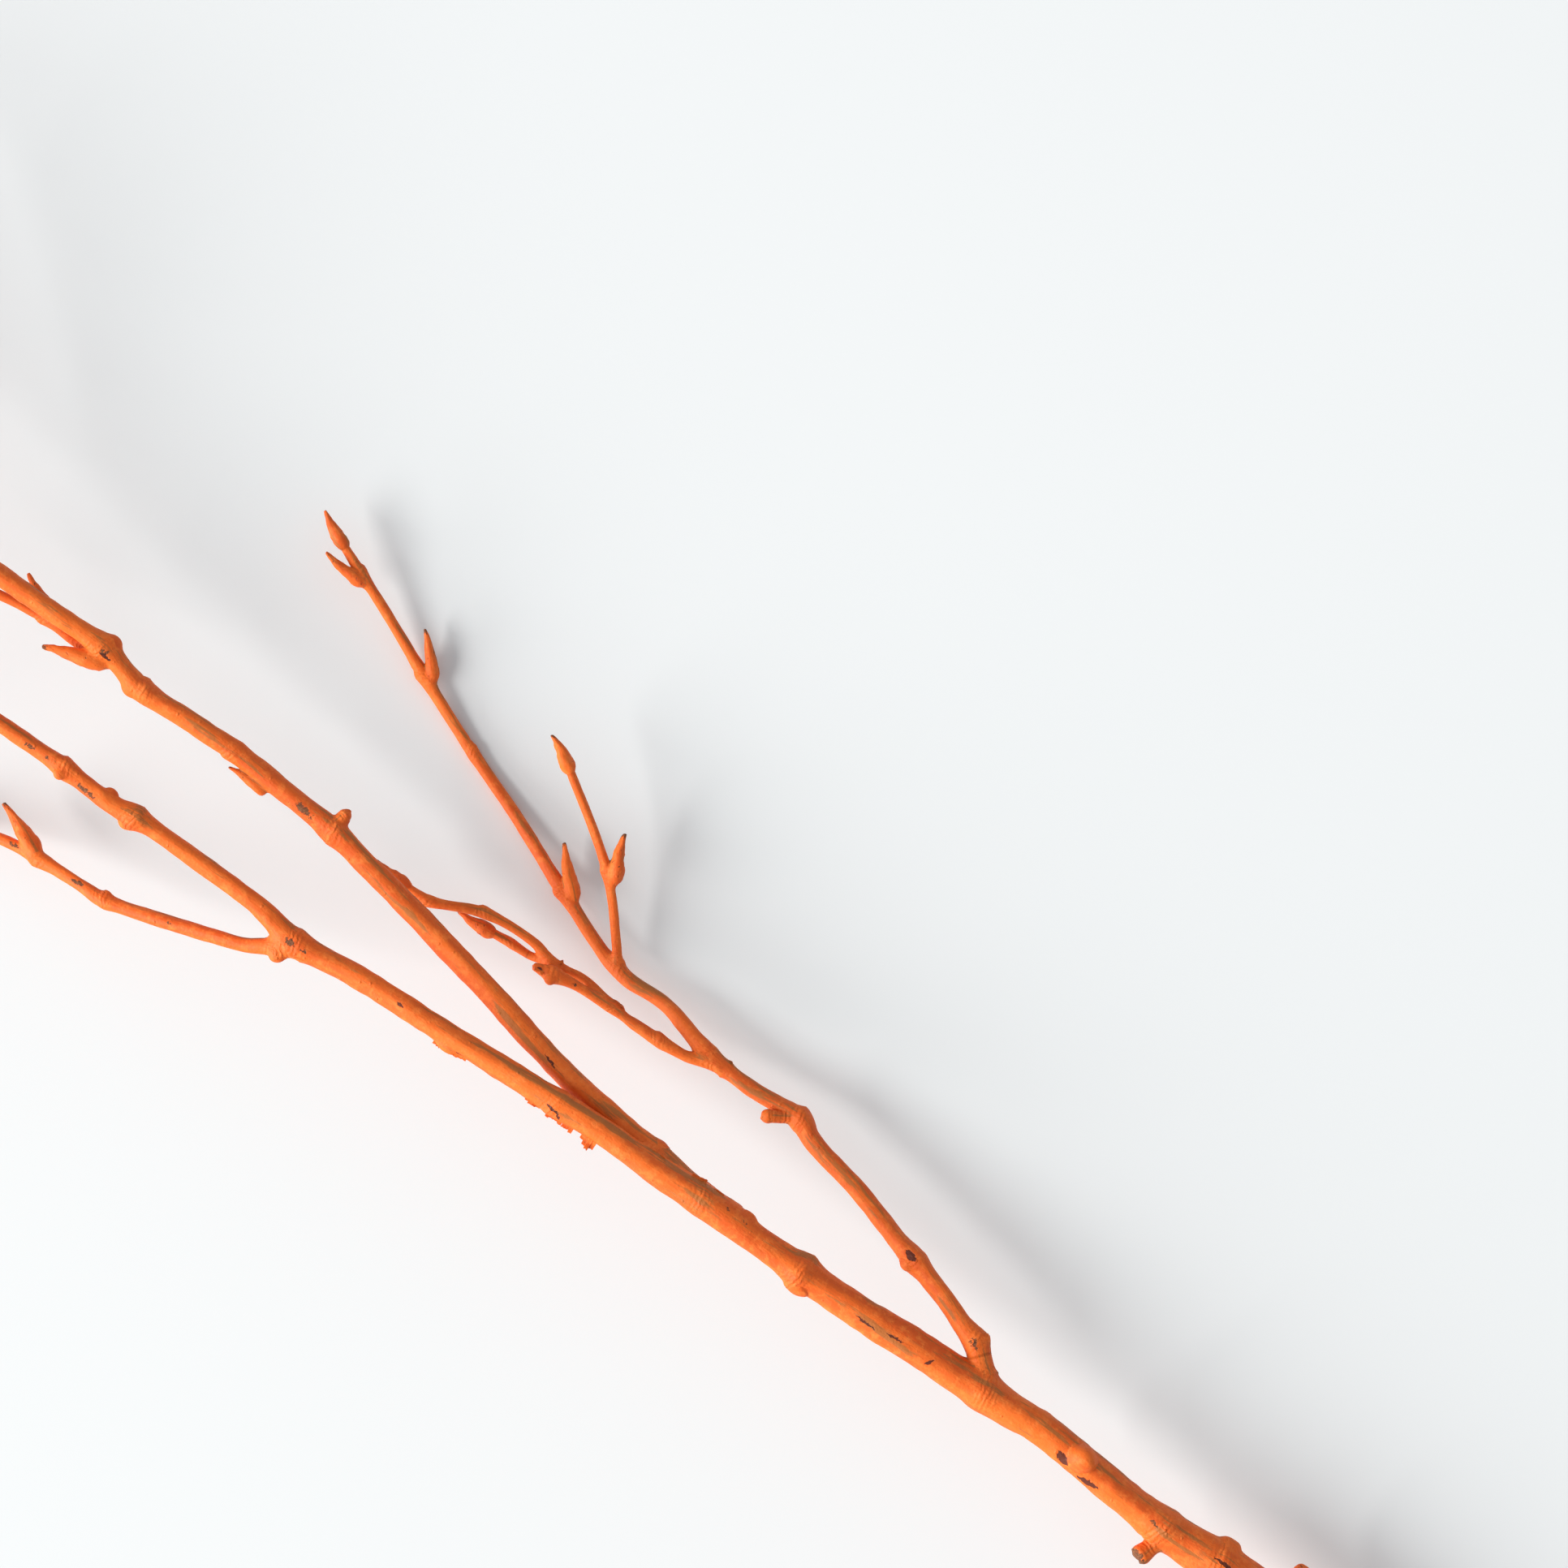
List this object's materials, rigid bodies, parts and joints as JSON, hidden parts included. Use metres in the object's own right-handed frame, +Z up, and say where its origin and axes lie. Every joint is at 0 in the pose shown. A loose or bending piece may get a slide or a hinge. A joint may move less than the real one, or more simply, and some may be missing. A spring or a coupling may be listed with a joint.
{
  "type": "birch branch",
  "caption": "Cut birch branch with forked side branches, fine twigs, pointed buds and knobbly nodes, coated in matte orange paint, lying on a surface.",
  "frame": {"origin": "on the resting surface, under the middle of the branch's bounding box", "axes": "+X runs from the cut end to the tips, +Z up, the branch lying as it rests"},
  "size_m": [0.5485, 0.1067, 0.0498],
  "materials": {
    "painted_bark": "matte orange paint, thin on the ridges and chipped to grey-brown bark"
  },
  "bodies": {
    "root": {"birch_branch": "painted_bark"}
  },
  "joints": []
}
